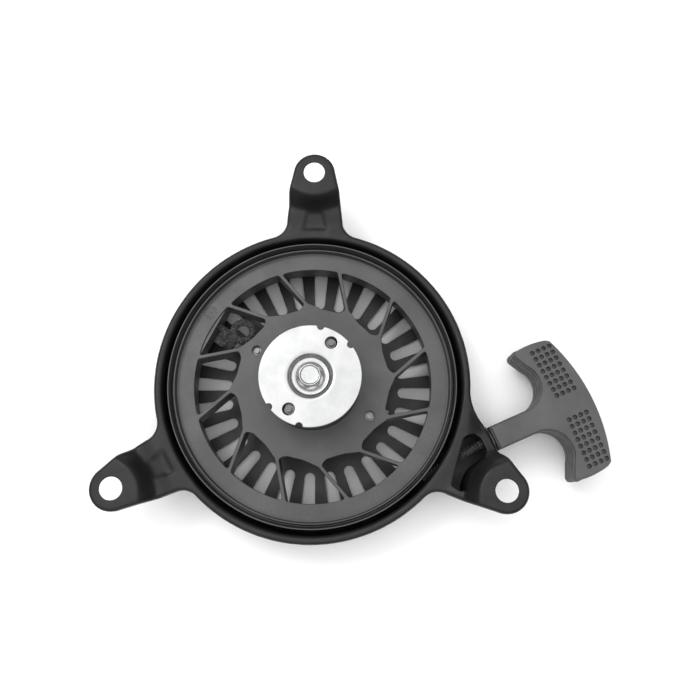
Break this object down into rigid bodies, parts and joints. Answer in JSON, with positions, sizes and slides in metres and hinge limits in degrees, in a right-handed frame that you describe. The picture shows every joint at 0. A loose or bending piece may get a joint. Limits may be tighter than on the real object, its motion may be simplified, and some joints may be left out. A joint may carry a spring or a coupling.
{
  "type": "recoil starter",
  "caption": "Pull-rope recoil starter: pressed bowl housing with three mounting ears, spoked rope pulley, pawls under a round drive plate, and a T handle on the rope.",
  "frame": {"origin": "on the pulley's spin axis, in the plane of the three mounting pads", "axes": "+Z along the spin axis towards the engine; +Y from the axis to the ear opposite the rope outlet; the rope leaves in the XY plane at 24 degrees from +X towards +Y"},
  "size_m": [0.258, 0.2025, 0.0466],
  "materials": {
    "black_steel": "satin black paint over pressed steel",
    "black_nylon": "moulded glass-filled nylon with a fine grain",
    "eyelet_nylon": "smooth black nylon, polished by the rope",
    "zinc": "bright zinc plate",
    "zinc_dull": "dull zinc plate",
    "plain_steel": "machined steel, lightly oiled",
    "spring_steel": "blued spring steel",
    "rope": "braided black starter cord",
    "grip_plastic": "moulded grip with a fine matt grain"
  },
  "bodies": {
    "housing": {"housing": "black_steel", "center_post": "plain_steel", "post_rivets": "zinc", "rope_eyelet": "eyelet_nylon", "recoil_spring": "spring_steel", "brake_washer": "plain_steel", "center_screw": "zinc", "rope_run": "rope"},
    "pulley": {"pulley": "black_nylon", "spring_keeper": "zinc_dull", "keeper_pins": "zinc_dull", "rope_wound": "rope", "rope_knot": "rope", "pawl_pins": "plain_steel", "pawl_spring_a": "spring_steel", "pawl_spring_b": "spring_steel"},
    "pawl_a": {"pawl_a": "plain_steel"},
    "pawl_b": {"pawl_b": "plain_steel"},
    "drive_plate": {"drive_plate": "zinc", "brake_spring": "spring_steel"},
    "handle": {"handle_grip": "grip_plastic", "handle_insert": "zinc_dull", "handle_knot": "rope", "rope_lead": "rope"}
  },
  "joints": [
    {"name": "pulley_spin", "type": "hinge", "parent": "housing", "child": "pulley", "pos_m": [0, 0, -0.02], "axis": [0, 0, 1], "range_deg": [0, 1080], "stiffness_Nm_per_rad": 0.03, "springref_deg": -229.18, "deforming": ["recoil_spring"]},
    {"name": "handle_pull", "type": "slide", "parent": "housing", "child": "handle", "axis": [0.9135, 0.4067, 0], "range_m": [0, 1.29], "deforming": ["rope_lead"]},
    {"name": "plate_turn", "type": "hinge", "parent": "pulley", "child": "drive_plate", "pos_m": [0, 0, 0.003], "axis": [0, 0, 1], "range_deg": [-10.7, 0], "stiffness_Nm_per_rad": 0.02},
    {"name": "pawl_a_swing", "type": "hinge", "parent": "pulley", "child": "pawl_a", "pos_m": [0.00653, 0.01066, -0.001], "axis": [0, 0, 1], "range_deg": [-30, 0]},
    {"name": "pawl_b_swing", "type": "hinge", "parent": "pulley", "child": "pawl_b", "pos_m": [-0.00653, -0.01066, -0.001], "axis": [0, 0, 1], "range_deg": [-30, 0]}
  ],
  "couplings": [
    {"joint": "handle_pull", "follows": "pulley_spin", "m_per_rad": 0.068},
    {"joint": "pawl_a_swing", "follows": "plate_turn", "ratio": 2.8},
    {"joint": "pawl_b_swing", "follows": "plate_turn", "ratio": 2.8}
  ]
}
